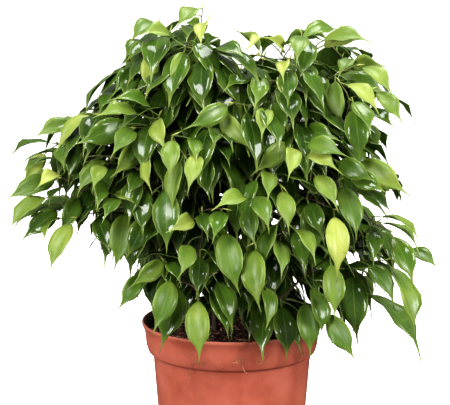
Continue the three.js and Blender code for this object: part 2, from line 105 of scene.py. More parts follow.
def newMaterial(name):
    material = bpy.data.materials.new(name)
    material.use_nodes = True
    nodes = material.node_tree.nodes
    place = nodes.new("ShaderNodeTexCoord").outputs["Object"]
    return material, nodes, material.node_tree.links, nodes["Principled BSDF"], place


def noiseNode(nodes, links, coordinates, scale, detail=3, roughness=0.55):
    node = nodes.new("ShaderNodeTexNoise")
    node.inputs["Scale"].default_value = scale
    node.inputs["Detail"].default_value = detail
    node.inputs["Roughness"].default_value = roughness
    links.new(coordinates, node.inputs["Vector"])
    return node.outputs["Fac"]


def rampNode(nodes, links, factor, stops):
    node = nodes.new("ShaderNodeValToRGB")
    while len(node.color_ramp.elements) < len(stops):
        node.color_ramp.elements.new(0.5)
    for element, (place, colour) in zip(node.color_ramp.elements, stops):
        element.position = place
        element.color = (*colour, 1)
    links.new(factor, node.inputs["Fac"])
    return node.outputs["Color"]


def mathNode(nodes, links, operation, first, second=0.0):
    node = nodes.new("ShaderNodeMath")
    node.operation = operation
    for socket, value in zip(node.inputs, (first, second)):
        if isinstance(value, (int, float)):
            socket.default_value = value
        else:
            links.new(value, socket)
    return node.outputs[0]


# a band is where a value starts and ends to count, and what comes out at its start and at its end
def bandNode(nodes, links, value, band):
    node = nodes.new("ShaderNodeMapRange")
    node.interpolation_type = "SMOOTHSTEP"
    links.new(value, node.inputs["Value"])
    for socket, number in zip(node.inputs[1:5], band):
        socket.default_value = number
    return node.outputs[0]


# a Mix node takes its colours in sockets 6 and 7, and gives their mix in socket 2
def mixNode(nodes, links, factor, first, second):
    node = nodes.new("ShaderNodeMix")
    node.data_type = "RGBA"
    for socket, value in zip((node.inputs[0], node.inputs[6], node.inputs[7]), (factor, first, second)):
        if isinstance(value, (int, float)):
            socket.default_value = value
        elif isinstance(value, tuple):
            socket.default_value = (*value, 1)
        else:
            links.new(value, socket)
    return node.outputs[2]


def bumpNode(nodes, links, height, strength, distance, before=None):
    node = nodes.new("ShaderNodeBump")
    node.inputs["Strength"].default_value = strength
    node.inputs["Distance"].default_value = distance
    links.new(height, node.inputs["Height"])
    if before:
        links.new(before, node.inputs["Normal"])
    return node.outputs["Normal"]


# a finish that one noise colours, and also raises where the look has a bump
def grainFinish(name, look):
    material, nodes, links, shader, place = newMaterial(name)
    grains = noiseNode(nodes, links, place, *look["grains"])
    links.new(rampNode(nodes, links, grains, look["colours"]), shader.inputs["Base Color"])
    shader.inputs["Roughness"].default_value = look["roughness"]
    if "bump" in look:
        links.new(bumpNode(nodes, links, grains, *look["bump"]), shader.inputs["Normal"])
    return material


# Leaf finish: colour by youth, pale rib, a pale margin that is partly the blade's own and partly painted
# sheen, a painted highlight towards the tip, fine side veins, a waxy gloss

leafLook = {
    "colours": [
        (0.0, (0.026, 0.062, 0.008)),
        (0.34, (0.084, 0.166, 0.019)),
        (0.67, (0.200, 0.290, 0.037)),
        (1.0, (0.445, 0.495, 0.105)),
    ],
    "blotches": (34, 3),  # scale and detail
    "blotchShare": 0.7,
    "veins": 11,  # on each side of the rib
    "veinSlant": -0.5,
    "veinBand": (0.75, 1.0, 0.0, 1.0),
    "veinShare": 0.10,
    "parts": {  # the colour of each, the way its band runs, and the band
        "outer": ((0.205, 0.315, 0.028), "fromRib", (0.20, 0.5, 0.0, 0.28)),
        "rib": ((0.26, 0.40, 0.085), "fromRib", (0.0, 0.03, 0.4, 0.0)),
        # the tip's pale band is a painted highlight; the margin's pale line is partly the blade's own pale
        # edge and partly painted sheen
        "tip": ((0.36, 0.46, 0.10), "along", (0.62, 0.92, 0.0, 0.6)),
        "margin": ((0.46, 0.56, 0.20), "fromRib", (0.46, 0.495, 0.0, 0.6)),
    },
    "vein": (0.26, 0.40, 0.085),
    "underside": (0.22, 0.34, 0.10),
    "undersideShare": 0.35,
    "patches": (28, 1),
    "roughness": (0.66, 1.0, 0.11, 0.42),
    "undersideDuller": 0.3,
    "specular": 0.5,
    "swells": (110, 1),
    "swellBump": (0.10, 0.0012),
    "through": (0.42, 0.60, 0.05),
    "throughTint": 0.6,
    "throughShare": 0.22,
}


def leafFinish(name, isUnderside):
    look = leafLook
    material, nodes, links, shader, place = newMaterial(name)
    uv = nodes.new("ShaderNodeUVMap")
    uv.uv_map = "leaf"
    split = nodes.new("ShaderNodeSeparateXYZ")
    links.new(uv.outputs[0], split.inputs[0])
    across = mathNode(nodes, links, "SUBTRACT", split.outputs[0], 0.5)
    ways = {"along": split.outputs[1], "fromRib": mathNode(nodes, links, "ABSOLUTE", across)}
    youth = nodes.new("ShaderNodeAttribute")
    youth.attribute_name = "youth"
    blotches = mathNode(nodes, links, "SUBTRACT", noiseNode(nodes, links, place, *look["blotches"]), 0.5)
    shade = mathNode(nodes, links, "MULTIPLY", blotches, look["blotchShare"])
    age = mathNode(nodes, links, "ADD", youth.outputs["Fac"], shade)
    colour = rampNode(nodes, links, age, look["colours"])
    # side veins leave the rib forwards
    slant = mathNode(nodes, links, "MULTIPLY", ways["fromRib"], look["veinSlant"])
    phase = mathNode(nodes, links, "ADD", ways["along"], slant)
    turns = mathNode(nodes, links, "MULTIPLY", phase, look["veins"] * fullTurn)
    vein = bandNode(nodes, links, mathNode(nodes, links, "SINE", turns), look["veinBand"])
    vein = mathNode(nodes, links, "MULTIPLY", vein, look["veinShare"])
    colour = mixNode(nodes, links, vein, colour, look["vein"])
    # the pale rib and outer blade, a painted highlight at the tip, and a margin that is partly painted sheen
    for tint, way, band in look["parts"].values():
        colour = mixNode(nodes, links, bandNode(nodes, links, ways[way], band), colour, tint)
    if isUnderside:
        colour = mixNode(nodes, links, look["undersideShare"], colour, look["underside"])
    links.new(colour, shader.inputs["Base Color"])
    # some leaves are glossier than others, older ones most
    patches = mathNode(nodes, links, "ADD", noiseNode(nodes, links, place, *look["patches"]), age)
    dull = bandNode(nodes, links, patches, look["roughness"])
    if isUnderside:
        dull = mathNode(nodes, links, "ADD", dull, look["undersideDuller"])
    links.new(dull, shader.inputs["Roughness"])
    swells = noiseNode(nodes, links, place, *look["swells"])
    links.new(bumpNode(nodes, links, swells, *look["swellBump"]), shader.inputs["Normal"])
    shader.inputs["Specular IOR Level"].default_value = look["specular"]
    # a little light comes through the blade
    through = nodes.new("ShaderNodeBsdfTranslucent")
    links.new(mixNode(nodes, links, look["throughTint"], colour, look["through"]), through.inputs["Color"])
    both = nodes.new("ShaderNodeMixShader")
    both.inputs[0].default_value = look["throughShare"]
    links.new(shader.outputs[0], both.inputs[1])
    links.new(through.outputs[0], both.inputs[2])
    links.new(both.outputs[0], nodes["Material Output"].inputs["Surface"])
    return material


# Wood finishes: bark on the trunks and twigs, and smooth green on the petioles and sheaths

woodLooks = {
    "old bark": {
        "grains": (260, 4),  # scale and detail
        "colours": [(0.25, (0.030, 0.018, 0.010)), (0.6, (0.085, 0.055, 0.030)), (0.85, (0.18, 0.13, 0.08))],
        "roughness": 0.75,
        "bump": (0.5, 0.0006),
    },
    "young bark": {
        "grains": (260, 4),
        "colours": [(0.25, (0.110, 0.120, 0.035)), (0.6, (0.200, 0.210, 0.065)), (0.85, (0.34, 0.34, 0.13))],
        "roughness": 0.75,
        "bump": (0.5, 0.0006),
    },
    "petiole": {
        "grains": (60, 2),
        "colours": [(0.3, (0.10, 0.17, 0.025)), (0.7, (0.25, 0.33, 0.070))],
        "roughness": 0.4,
    },
    "sheath": {
        "grains": (60, 2),
        "colours": [(0.3, (0.34, 0.40, 0.070)), (0.7, (0.56, 0.56, 0.160))],
        "roughness": 0.4,
    },
}


# The leaves are read from the frame's stems: each blade ends in a tip with a ring of four corners before it

leafShape = {
    "faces": (4, 10),  # across and along a blade
    "innerFaces": (4, 8),
    "slenderness": 0.42,  # width over length
    "widest": 0.026,
    "arch": 0.12,
    "ringShare": 0.62,  # where the corners before the tip are
    "ribThickness": 0.0011,
    "ribWithin": 2e-5,
    "evenWithin": 5e-5,
    "lengths": (0.02, 0.12),
    "leastLift": 1e-4,
    "openFold": math.radians(7),
    "youngFold": math.radians(7),
    "oldest": 3,
    "foldMore": math.radians(5),  # beside what the frame's blade has
    "thickness": 0.0003,
    "camber": 0.16,
    "wave": 0.032,
    "waves": (1.2, 2.4),  # along an edge
    "curl": 0.07,
    "droop": (0.02, 0.13),
    "tipPower": 5,  # curl and droop grow towards the tip
    "twist": math.radians(16),
    "twistFrom": 0.3,
}


def bow(share):
    return leafShape["arch"] * 4 * share * (1 - share)


def halfWidth(leaf):
    return min(leaf["length"] * leafShape["slenderness"], leafShape["widest"]) / 2


# The way back along the arched rib at the blade's base
def wayBack(leaf):
    return (leaf["along"] + leaf["normal"] * 4 * leafShape["arch"]).normalized()


def isRib(pair):
    return abs((pair[0] - pair[1]).length - leafShape["ribThickness"]) < leafShape["ribWithin"]


def readLeaf(tip):
    corners = [edge.other_vert(tip).co for edge in tip.link_edges]
    if len(corners) != 4:
        return None
    ribs = [pair for pair in combinations(corners, 2) if isRib(pair)]
    if not ribs:
        return None
    upper, lower = ribs[0]
    left, right = [corner for corner in corners if corner is not upper and corner is not lower]
    middle = (upper + lower) / 2
    if abs((left - middle).length - (right - middle).length) > leafShape["evenWithin"]:
        return None
    share = leafShape["ringShare"]
    lift = (left + right) / 2 - middle
    length = (tip.co - middle).length / math.hypot(1 - share, bow(share))
    shortest, longest = leafShape["lengths"]
    if not shortest < length < longest or lift.length < leafShape["leastLift"]:
        return None
    normal = lift.normalized()
    side = (right - left).normalized()
    along = side.cross(normal)
    if along.dot(tip.co - middle) < 0:
        along, side = -along, -side
    fold = math.atan2(lift.length, (right - left).length / 2)
    youth = (fold - leafShape["openFold"]) / leafShape["youngFold"] / leafShape["oldest"]
    return {
        "base": tip.co - along * length,
        "along": along,
        "side": side,
        "normal": normal,
        "length": length,
        "fold": fold,
        "youth": min(1, max(0, youth)),
    }


def readStem(name):
    bm = bmesh.new()
    bm.from_mesh(frame["nodes"][name].data)
    bmesh.ops.remove_doubles(bm, verts=bm.verts, dist=weld)
    leaves = [leaf for leaf in map(readLeaf, bm.verts) if leaf]
    bm.free()
    return leaves


# The wood: a trunk for each stem, and twigs that reach out from it to the roots of its leaves

stemPlaces = {  # where each stands in the soil, and where its top ends
    "leafy_stem_front_left": ((-0.016, -0.014), (-0.062, -0.042, 0.345)),
    "leafy_stem_front_right": ((0.017, -0.015), (0.062, -0.044, 0.335)),
    "leafy_stem_right": ((0.022, 0.010), (0.082, 0.022, 0.350)),
    "leafy_stem_back": ((0.000, 0.024), (-0.008, 0.066, 0.355)),
    "leafy_stem_left": ((-0.022, 0.010), (-0.074, 0.026, 0.365)),
}
woodShape = {
    "footRadius": 0.0029,
    "topRadius": 0.0013,
    "steps": 6,
    "depth": 0.030,
    "thinnest": 0.00045,
    "thickening": 0.32,
    "windingCost": 0.3,
    "sharpestBend": 1.2,
    "kink": 0.0025,
    "kinkAt": 0.4,
    "youngFrom": 0.30,  # short twigs above this height are green
    "youngPoints": 3,
    "bevelDepth": 0.001,
    "bevelSteps": 1,
    "curveSteps": 3,
}
petioleShape = {
    "length": 0.009,
    "reach": 0.017,  # how far it stretches to wood that is near
    "radius": 0.0006,
    "taper": (1.15, 0.95, 0.9, 0.35),  # from the twig to under the blade
    "underBlade": 0.09,
    "straight": 0.5,
    "bendAt": 0.6,
}
sheathShape = {
    "lengths": (0.005, 0.010),
    "radius": 0.0008,
    "taper": (0.7, 1, 0.12),
    "rise": (-0.3, 0.4),
    "bendAt": 0.4,
}


def leafRoot(leaf):
    return leaf["base"] - wayBack(leaf) * petioleShape["length"]


def arcPoints(start, knee, end, steps):
    shares = [i / steps for i in range(steps + 1)]
    return [start * (1 - share) ** 2 + knee * 2 * share * (1 - share) + end * share ** 2 for share in shares]


def trunkPoints(name):
    (x, y), top = stemPlaces[name]
    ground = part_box("soil")[1].z
    knee = Vector((x, y, (ground + top[2]) / 2))
    return arcPoints(Vector((x, y, ground)), knee, Vector(top), woodShape["steps"])


def nearestOnWood(wood, place):
    best = None
    for i in range(2, len(wood)):
        start, end = wood[wood[i]["parent"]]["at"], wood[i]["at"]
        at, share = intersect_point_line(place, start, end)
        at = start if share < 0 else end if share > 1 else at
        gap = (at - place).length
        if best is None or gap < best[0]:
            best = (gap, at, i)
    return best


def growWood(name, leaves):
    wood = []

    def grow(at, parent, carries):
        way = wood[parent]["way"] + (at - wood[parent]["at"]).length if wood else 0
        wood.append({"at": at, "parent": parent, "way": way, "carries": carries})

    def fromTrunk(leaf):
        return min((point - leafRoot(leaf)).length for point in trunk[1:])

    def cost(point, root):
        return (point["at"] - root).length + woodShape["windingCost"] * point["way"]

    trunk = trunkPoints(name)
    for i, point in enumerate(trunk):
        grow(point, i - 1, 0)
    for leaf in sorted(leaves, key=fromTrunk):
        root = leafRoot(leaf)
        gap, at, i = nearestOnWood(wood, root)
        behind = (leaf["base"] - at).dot(leaf["along"])
        if gap < petioleShape["reach"] and behind > petioleShape["length"] / 2:
            leaf["root"] = at.copy()
            wood[i]["carries"] += 1
        else:
            leaf["root"] = root
            costs = [cost(point, root) for point in wood[1:]]
            grow(root, costs.index(min(costs)) + 1, 1)
    for point in reversed(wood[1:]):
        wood[point["parent"]]["carries"] += point["carries"]
    return wood


# Lines of wood from fork to tip: each point passes its line on to the child that carries most
def woodLines(wood):
    children = [[] for _ in wood]
    for i, point in enumerate(wood[1:], 1):
        children[point["parent"]].append(i)
    lines = []

    def bendsBack(line, i):
        if len(line) < 2:
            return False
        before, here = wood[line[-2]]["at"], wood[line[-1]]["at"]
        return (here - before).angle(wood[i]["at"] - here, 0) > woodShape["sharpestBend"]

    def follow(line):
        while True:
            following = sorted(children[line[-1]], key=lambda i: -wood[i]["carries"])
            onTrunk = [i for i in following if i <= woodShape["steps"]]
            straight = [i for i in following if not bendsBack(line, i)]
            main = (onTrunk + straight + [None])[0]
            for other in following:
                if other != main:
                    follow([line[-1], other])
            if main is None:
                break
            line.append(main)
        lines.append(line)

    follow([0])
    return lines


def twigRadius(point):
    return woodShape["thinnest"] * max(1, point["carries"]) ** woodShape["thickening"]


def addLine(curve, points, radii, finish):
    spline = curve.splines.new("BEZIER")
    spline.bezier_points.add(len(points) - 1)
    spline.material_index = list(woodLooks).index(finish)
    for bezier, point, radius in zip(spline.bezier_points, points, radii):
        bezier.co = point
        bezier.radius = radius / curve.bevel_depth
        bezier.handle_left_type = bezier.handle_right_type = "AUTO"


def addWood(curve, wood):
    for line in woodLines(wood):
        points = [wood[i]["at"].copy() for i in line]
        isTrunk = line[0] == 0
        thickest = woodShape["topRadius"] if isTrunk else twigRadius(wood[line[1]])
        radii = [min(thickest, twigRadius(wood[i])) for i in line]
        if isTrunk:
            for i in range(woodShape["steps"] + 1):
                share = i / woodShape["steps"]
                radii[i] = woodShape["footRadius"] * (1 - share) + woodShape["topRadius"] * share
            points.insert(0, points[0] - up * woodShape["depth"])
            radii.insert(0, woodShape["footRadius"])
        else:
            # a twig leaves its parent at a slight angle, thinner than it
            radii[0] = min(radii[0], radii[1])
            middle = points[0].lerp(points[1], woodShape["kinkAt"])
            jog = Vector([random.uniform(-1, 1) for _ in range(3)]) * woodShape["kink"]
            points.insert(1, middle + jog)
            radii.insert(1, radii[0])
        isShort = not isTrunk and len(line) <= woodShape["youngPoints"]
        isYoung = isShort and points[-1].z > woodShape["youngFrom"]
        addLine(curve, points, radii, "young bark" if isYoung else "old bark")
        addSheath(curve, points[-2], points[-1], random)


# the pale pointed sheath at a shoot's end, with the next leaf rolled up in it
def addSheath(curve, before, end, draws):
    way = (end - before).normalized() + up * draws.uniform(*sheathShape["rise"])
    point = end + way.normalized() * draws.uniform(*sheathShape["lengths"])
    radius = sheathShape["radius"]
    jog = Vector((draws.uniform(-1, 1), draws.uniform(-1, 1), 0)) * radius
    bend = end.lerp(point, sheathShape["bendAt"]) + jog
    addLine(curve, [end, bend, point], [radius * share for share in sheathShape["taper"]], "sheath")


def addPetiole(curve, leaf):
    base, root, along, normal = leaf["base"], leaf["root"], leaf["along"], leaf["normal"]
    share, radius = petioleShape["underBlade"], petioleShape["radius"]
    under = base + along * leaf["length"] * share + normal * leaf["length"] * bow(share)
    straight = (base - root).length * petioleShape["straight"]
    bend = root.lerp(base - wayBack(leaf) * straight, petioleShape["bendAt"])
    points = [root, bend, base - normal * radius / 2, under - normal * radius]
    addLine(curve, points, [radius * share for share in petioleShape["taper"]], "petiole")


def meshFromCurve(curve):
    holder = bpy.data.objects.new("wood", curve)
    bpy.context.scene.collection.objects.link(holder)
    bpy.context.view_layer.update()
    evaluated = holder.evaluated_get(bpy.context.evaluated_depsgraph_get())
    mesh = bpy.data.meshes.new_from_object(evaluated)
    bpy.data.objects.remove(holder)
    return mesh


# A blade: a grid bent to an oval with a drip tip, folded along its rib, waved at its margin

bladeOutline = {
    "widestAt": 0.42,
    "powers": (0.8, 1.1),  # before and after the widest place
    "dripTip": (0.58, 0.86),  # where it narrows
    "narrowing": 0.78,
    "least": 0.02,
}


def smoothStep(low, high, value):
    share = min(1, max(0, (value - low) / (high - low)))
    return share * share * (3 - 2 * share)


def outline(share):
    widestAt, (before, after) = bladeOutline["widestAt"], bladeOutline["powers"]
    oval = (share / widestAt) ** before * ((1 - share) / (1 - widestAt)) ** after
    narrowed = bladeOutline["narrowing"] * smoothStep(*bladeOutline["dripTip"], share)
    return max(bladeOutline["least"], oval * (1 - narrowed))


def bendBlade(vertices, leaf, draws):
    base, along, length = leaf["base"], leaf["along"], leaf["length"]
    half = halfWidth(leaf)
    phase = [draws.uniform(0, fullTurn) for _ in range(2)]
    waves = draws.uniform(*leafShape["waves"])
    fold = leaf["fold"] + draws.random() * leafShape["foldMore"]
    twist = draws.uniform(-1, 1) * leafShape["twist"]
    curl = draws.uniform(-1, 1) * leafShape["curl"]
    droop = draws.uniform(*leafShape["droop"])
    for vertex in vertices:
        across, step = -vertex.co.x, (vertex.co.y + 1) / 2  # turned, so that the faces look up
        share = (step + (1 - math.cos(math.pi * step)) / 2) / 2  # closer together at both ends
        turn = Matrix.Rotation(twist * (share - leafShape["twistFrom"]), 3, along)
        side, normal = turn @ leaf["side"], turn @ leaf["normal"]
        width = half * outline(share)
        out = abs(across)
        lift = width * (out * math.sin(fold) + leafShape["camber"] * out * (1 - out) * 2)
        wave = math.sin(waves * fullTurn * share + phase[0 if across < 0 else 1])
        lift += leafShape["wave"] * length * out ** 2 * wave * math.sin(math.pi * share)
        toTip = share ** leafShape["tipPower"]
        vertex.co = base + along * length * share + normal * (length * bow(share) + lift)
        vertex.co += side * (across * width * math.cos(fold) + curl * length * toTip)
        vertex.co -= normal * droop * length * toTip


def addBlade(bm, leaf, faces, draws):
    across, along = faces
    made = bmesh.ops.create_grid(bm, x_segments=across, y_segments=along, size=1, calc_uvs=True)["verts"]
    youth = bm.verts.layers.float["youth"]
    bendBlade(made, leaf, draws)
    for vertex in made:
        vertex[youth] = leaf["youth"]


# More old leaves inside the crown, each on a petiole from the wood, clear of the leaves that are there; the
# deeper in the crown, the darker they are, partly from age and partly as painted shade

innerLeaves = {
    "tries": 5000,
    "perStem": 160,
    "lengths": (0.042, 0.064),
    "spread": 1.3,  # radians to each side of the way out
    "climb": (-0.9, 0.35),
    "alongTwig": 0.4,
    "petiole": (0.006, 0.013),
    "droop": (0.3, 1.3),
    "faceOut": (0.4, 1),
    "widestAt": 0.4,
    "apart": 0.0135,
    "youth": 0.32,
    "frontFrom": -0.01,
    "frontReach": 0.80,  # how near the crown's surface a tip comes
    "backReach": 0.93,
    "topReach": 1.02,
    "topHeight": 0.34,
    "baseWithin": 0.15,  # a base stays further in than a tip
    "sideReach": 0.64,  # how near the crown's outline a tip comes
    "topSideWithin": 0.2,
    "lowestTwig": 0.17,
    "lowest": 0.142,
    "rise": 0.40,  # their lower edge rises to the left, more steeply past the pot
    "steepFrom": 0.09,
    "steepRise": 0.9,
    "gaps": [  # x, z and reach of the gaps at the crown's edge, as the eye sees them
        (0.136, 0.257, 0.020),
        (0.132, 0.156, 0.022),
        (0.152, 0.322, 0.022),
        (-0.112, 0.398, 0.020),
        (-0.083, 0.172, 0.012),
    ],
}
crown = {"halfWidth": 0.215, "halfDepth": 0.140, "middle": 0.250, "above": 0.205, "below": 0.225}


# How near the edge of the crown's outline a place is, seen from the front, and how near its surface
def inOutline(place):
    half = crown["above"] if place.z > crown["middle"] else crown["below"]
    return (place.x / crown["halfWidth"]) ** 2 + ((place.z - crown["middle"]) / half) ** 2


def inCrown(place):
    return inOutline(place) + (place.y / crown["halfDepth"]) ** 2


# A place as the eye sees it against the upright plane through the pot's axis
def asSeen(place):
    return eye.lerp(place, eye.y / (eye.y - place.y))


def innerLeaf(root, twigWay, spread, draws):
    outward = Vector((root.x, root.y, 0)).normalized()
    outward.rotate(Matrix.Rotation(draws.uniform(-spread, spread), 3, up))
    heading = outward + up * draws.uniform(*innerLeaves["climb"]) + twigWay * innerLeaves["alongTwig"]
    heading.normalize()
    base = root + heading * draws.uniform(*innerLeaves["petiole"])
    along = (heading - up * draws.uniform(*innerLeaves["droop"])).normalized()
    normal = outward * draws.uniform(*innerLeaves["faceOut"]) + up
    normal = (normal - along * normal.dot(along)).normalized()
    length = draws.uniform(*innerLeaves["lengths"])
    return {
        "base": base,
        "root": root,
        "along": along,
        "side": normal.cross(along),
        "normal": normal,
        "length": length,
        "middle": base + along * length / 2,
        "fold": leafShape["openFold"],
        # darker the deeper in the crown: partly older leaves, partly painted shade
        "youth": draws.uniform(0, 1) * innerLeaves["youth"] * inCrown(base),
    }


def isInside(base, tip):
    reach = innerLeaves["frontReach"] if tip.y < innerLeaves["frontFrom"] else innerLeaves["backReach"]
    sideReach = innerLeaves["sideReach"]
    if base.z > innerLeaves["topHeight"]:
        reach = innerLeaves["topReach"]
        sideReach = reach - innerLeaves["topSideWithin"]
    if inCrown(base) > reach - innerLeaves["baseWithin"] or inCrown(tip) > reach:
        return False
    lowest = innerLeaves["lowest"] - tip.x * innerLeaves["rise"]
    lowest += max(0, -tip.x - innerLeaves["steepFrom"]) * innerLeaves["steepRise"]
    return inOutline(tip) <= sideReach and tip.z >= lowest


def hasRoom(leaf, obstacles, taken):
    base, along, length, middle = leaf["base"], leaf["along"], leaf["length"], leaf["middle"]
    tip = base + along * length
    if not isInside(base, tip):
        return False
    for x, z, reach in innerLeaves["gaps"]:
        if any((asSeen(place) - Vector((x, 0, z))).length < reach for place in (base, middle, tip)):
            return False
    if any((middle - other).length < innerLeaves["apart"] for other in taken):
        return False
    half = halfWidth(leaf)
    widest = base + along * length * innerLeaves["widestAt"]
    left, right = widest - leaf["side"] * half, widest + leaf["side"] * half
    ways = [(start, tip - start) for start in (base, left, right)] + [(left, right - left)]
    return not any(tree.ray_cast(start, way, way.length)[0] for tree in obstacles for start, way in ways)


def growInside(wood, obstacles, taken):
    twigs = [i for i in range(1, len(wood)) if wood[i]["at"].z > innerLeaves["lowestTwig"]]
    lengths = [(wood[i]["at"] - wood[wood[i]["parent"]]["at"]).length for i in twigs]
    added = []
    for i in random.choices(twigs, lengths, k=innerLeaves["tries"]):
        start, end = wood[wood[i]["parent"]]["at"], wood[i]["at"]
        root = start.lerp(end, random.random())
        leaf = innerLeaf(root, (end - start).normalized(), innerLeaves["spread"], random)
        if hasRoom(leaf, obstacles, taken):
            added.append(leaf)
            taken.append(leaf["middle"])
        if len(added) == innerLeaves["perStem"]:
            break
    return added


# Shoots that reach from the trunks into the middle of the crown, with leaves that head every way

middleShoots = {
    "seed": 5,
    "perStem": 5,
    "fromStep": 4,
    "spread": 1.0,
    "radius": (0.004, 0.050),
    "heights": (0.330, 0.385),
    "rise": 0.015,
    "steps": 9,
    "firstLeaf": 3,
    "tries": 8,
    "youth": (0.1, 0.5),
    "thick": 0.0010,
    "thin": 0.0005,
}


def middleShoot(name, draws):
    start = draws.choice(trunkPoints(name)[middleShoots["fromStep"]:])
    angle = math.atan2(start.y, start.x) + draws.uniform(-1, 1) * middleShoots["spread"]
    radius = draws.uniform(*middleShoots["radius"])
    height = draws.uniform(*middleShoots["heights"])
    end = Vector((radius * math.cos(angle), radius * math.sin(angle), height))
    return arcPoints(start, start.lerp(end, 0.5) + up * middleShoots["rise"], end, middleShoots["steps"])


def growMiddle(name, obstacles, taken, draws):
    shoots, added = [], []
    for _ in range(middleShoots["perStem"]):
        shoot = middleShoot(name, draws)
        shoots.append(shoot)
        way = (shoot[-1] - shoot[0]).normalized()
        for root in shoot[middleShoots["firstLeaf"]:]:
            for _ in range(middleShoots["tries"]):
                leaf = innerLeaf(root, way, math.pi, draws)
                leaf["youth"] = draws.uniform(*middleShoots["youth"])
                if hasRoom(leaf, obstacles, taken):
                    added.append(leaf)
                    taken.append(leaf["middle"])
                    break
    return shoots, added


def addShoot(curve, points, draws):
    thick, thin = middleShoots["thick"], middleShoots["thin"]
    radii = [thick + (thin - thick) * i / (len(points) - 1) for i in range(len(points))]
    addLine(curve, points, radii, "young bark")
    addSheath(curve, points[-2], points[-1], draws)


def solidTree(name):
    whole = bmesh.new()
    whole.from_mesh(frame["nodes"][name].data)
    tree = BVHTree.FromBMesh(whole)
    whole.free()
    return tree


# one stem's blades: those that the frame has, the old ones inside and the ones on its middle shoots
def makeBlades(stem, name, skins, draws):
    bm = bmesh.new()
    bm.loops.layers.uv.new("leaf")
    bm.verts.layers.float.new("youth")
    for leaf in stem["leaves"]:
        addBlade(bm, leaf, leafShape["faces"], random)
    for leaf in stem["inner"]:
        addBlade(bm, leaf, leafShape["innerFaces"], random)
    for leaf in stem["middle"]:
        addBlade(bm, leaf, leafShape["innerFaces"], draws)
    piece = finishedPiece(name.replace("leafy_stem", "leaves"), bm, skins, name)
    thick = piece.modifiers.new("blade thickness", "SOLIDIFY")
    thick.thickness = leafShape["thickness"]
    thick.offset = -1
    thick.material_offset = 1
    thick.material_offset_rim = 1


def makeWood(stem, name, finishes, draws):
    curve = bpy.data.curves.new("wood", "CURVE")
    curve.dimensions = "3D"
    curve.bevel_depth = woodShape["bevelDepth"]
    curve.bevel_resolution = woodShape["bevelSteps"]
    curve.resolution_u = woodShape["curveSteps"]
    curve.use_fill_caps = True
    for finish in finishes:
        curve.materials.append(finish)
    addWood(curve, stem["wood"])
    for shoot in stem["shoots"]:
        addShoot(curve, shoot, draws)
    for leaf in stem["leaves"] + stem["inner"] + stem["middle"]:
        addPetiole(curve, leaf)
    bm = bmesh.new()
    bm.from_mesh(meshFromCurve(curve))
    finishedPiece(name.replace("leafy_stem", "wood"), bm, finishes, name)


def makeStems():
    skins = [leafFinish("leaf upper side", False), leafFinish("leaf underside", True)]
    finishes = [grainFinish(name, look) for name, look in woodLooks.items()]
    stems = {name: {"leaves": readStem(name)} for name in stemNames}
    for name, stem in stems.items():
        stem["wood"] = growWood(name, stem["leaves"])
    print("leaves read:", {name: len(stem["leaves"]) for name, stem in stems.items()})
    obstacles = [solidTree(name) for name in stemNames + ["pot", "soil"]]
    taken = []  # the middles of the leaves that were added
    for stem in stems.values():
        stem["inner"] = growInside(stem["wood"], obstacles, taken)
    print("inner leaves:", len(taken))
    draws = random.Random(middleShoots["seed"])
    for name, stem in stems.items():
        stem["shoots"], stem["middle"] = growMiddle(name, obstacles, taken, draws)
    print("middle leaves:", sum(len(stem["middle"]) for stem in stems.values()))
    for name, stem in stems.items():
        makeBlades(stem, name, skins, draws)
        makeWood(stem, name, finishes, draws)
    print("stems made")


makeStems()


# Pot: its profile spun round, with its edges rounded and its drain holes cut

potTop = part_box("pot")[1]
potShape = {
    "steps": 144,
    "rimRadius": potTop.x,
    "height": potTop.z,
    "wall": 0.0018,
    "floor": 0.003,
    "base": 0.0650,
    "throat": (0.0745, 0.119),  # radius and height
    "shoulder": (0.0790, 0.122),
    "collarFoot": (0.0810, 0.128),
    "collarHead": (0.0823, 0.142),
    "innerRise": 0.001,  # the bends of the inside are this much higher
    "lip": 0.0022,
    "lipHeight": 0.0025,
    "round": 0.0006,
    "softRound": 0.0035,
    "roundSteps": 4,
    "sharpTurn": math.radians(12),
    "levelWithin": 1e-7,
    "axisWithin": 0.01,
    "drainHoles": 4,
    "drainRadius": 0.005,
    "drainCircle": 0.044,
    "drainSides": 32,
    "cutterDepth": 0.02,
}


def potProfile():
    shape = potShape
    (throat, throatTop), (shoulder, shoulderTop) = shape["throat"], shape["shoulder"]
    (foot, footTop), (head, headTop) = shape["collarFoot"], shape["collarHead"]
    rim, height, wall, rise = shape["rimRadius"], shape["height"], shape["wall"], shape["innerRise"]
    outside = [
        (0, 0),
        (shape["base"], 0),
        (throat, throatTop),
        (shoulder, shoulderTop),
        (foot, footTop),
        (head, headTop),
        (rim, height - shape["lipHeight"]),
        (rim, height),
    ]
    inside = [
        (rim - shape["lip"], height),
        (head - wall, headTop + rise),
        (foot - wall, footTop),
        (throat - wall, throatTop + rise),
        (shape["base"] - wall, shape["floor"]),
        (0, shape["floor"]),
    ]
    return outside + inside


# a line of (radius, height) points, spun into a surface about the upright axis
def spun(profile, steps):
    bm = bmesh.new()
    points = [bm.verts.new((radius, 0, height)) for radius, height in profile]
    line = [bm.edges.new(pair) for pair in zip(points, points[1:])]
    bmesh.ops.spin(
        bm,
        geom=points + line,
        cent=(0, 0, 0),
        axis=(0, 0, 1),
        angle=fullTurn,
        steps=steps,
        use_merge=True,
        use_duplicate=False,
    )
    bmesh.ops.remove_doubles(bm, verts=bm.verts, dist=weld)
    bmesh.ops.recalc_face_normals(bm, faces=bm.faces)
    return bm


